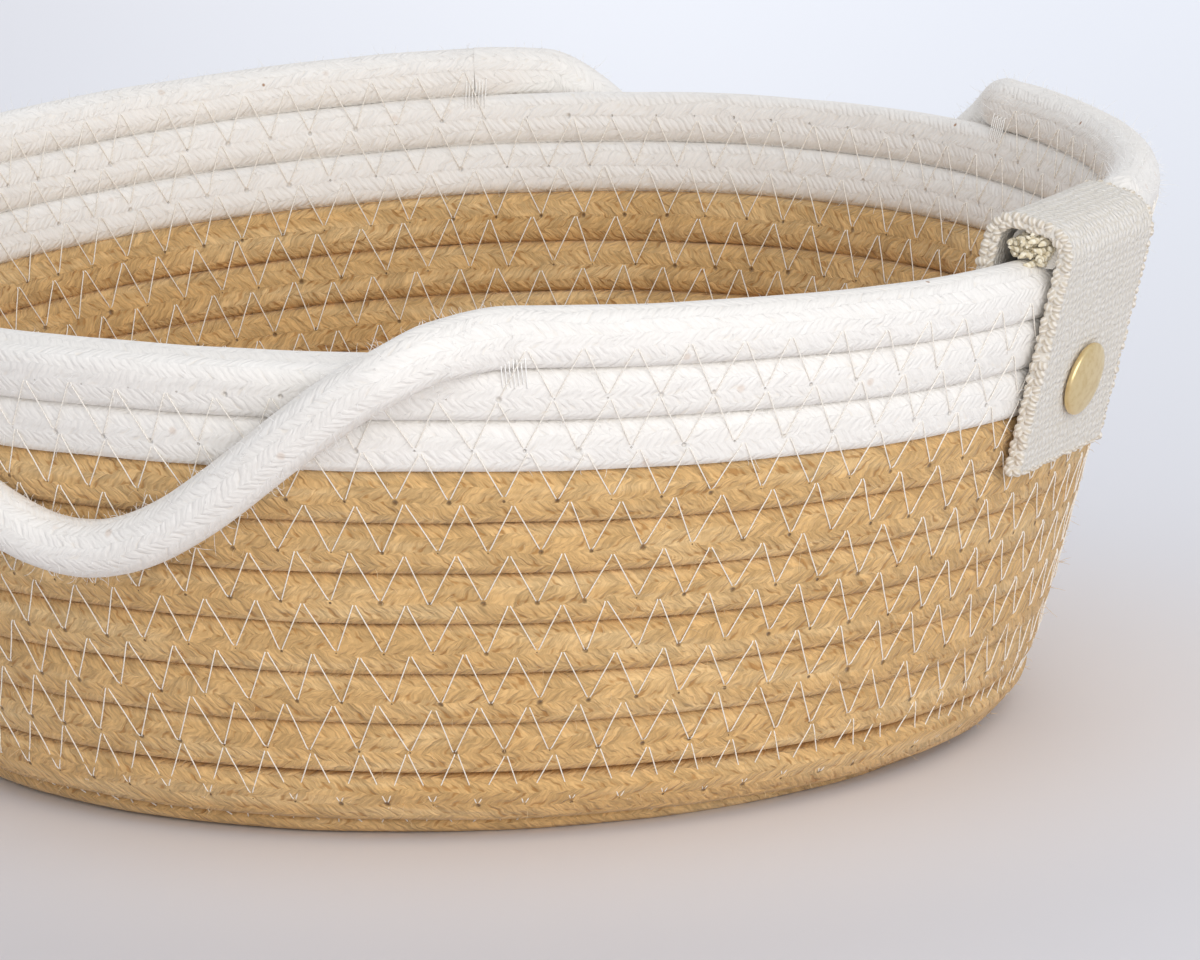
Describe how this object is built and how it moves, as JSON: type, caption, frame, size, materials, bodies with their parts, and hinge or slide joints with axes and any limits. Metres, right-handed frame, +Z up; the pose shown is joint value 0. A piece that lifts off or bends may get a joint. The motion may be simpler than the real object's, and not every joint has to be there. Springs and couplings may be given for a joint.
{
  "type": "rope basket",
  "caption": "Round coiled-rope basket with a flared wall, a spiral base, rope carrying handles that lift from the rim, and a riveted webbing tab over the rim.",
  "frame": {"origin": "middle of the base, on the surface that the basket stands on", "axes": "+Z up; the webbing tab is on the -Y side; the handles are on the -X and +X sides"},
  "size_m": [0.1804, 0.1781, 0.0723],
  "materials": {
    "tan_rope": "matt braided cotton rope, straw tan",
    "white_rope": "matt braided cotton rope, natural white with seed flecks",
    "webbing": "matt woven cotton webbing, cream",
    "rivet": "satin pale brass"
  },
  "bodies": {
    "basket": {"base_coil": "tan_rope", "tan_wall_coil": "tan_rope", "white_wall_coil": "white_rope", "rim_back_arc": "white_rope", "rim_end_arc": "white_rope", "rim_tab": "webbing", "rivet_cap": "rivet", "rivet_stud": "rivet"},
    "left_handle": {"handle_left": "white_rope"},
    "right_handle": {"handle_right": "white_rope"}
  },
  "joints": [
    {"name": "left_handle_lift", "type": "hinge", "parent": "basket", "child": "left_handle", "pos_m": [-0.06751, 0.00429, 0.06406], "axis": [0.0566, 0.9983, 0.0129], "range_deg": [0, 175]},
    {"name": "right_handle_lift", "type": "hinge", "parent": "basket", "child": "right_handle", "pos_m": [0.07379, -0.00456, 0.06725], "axis": [-0.0591, -0.9982, 0.0125], "range_deg": [0, 175]}
  ]
}
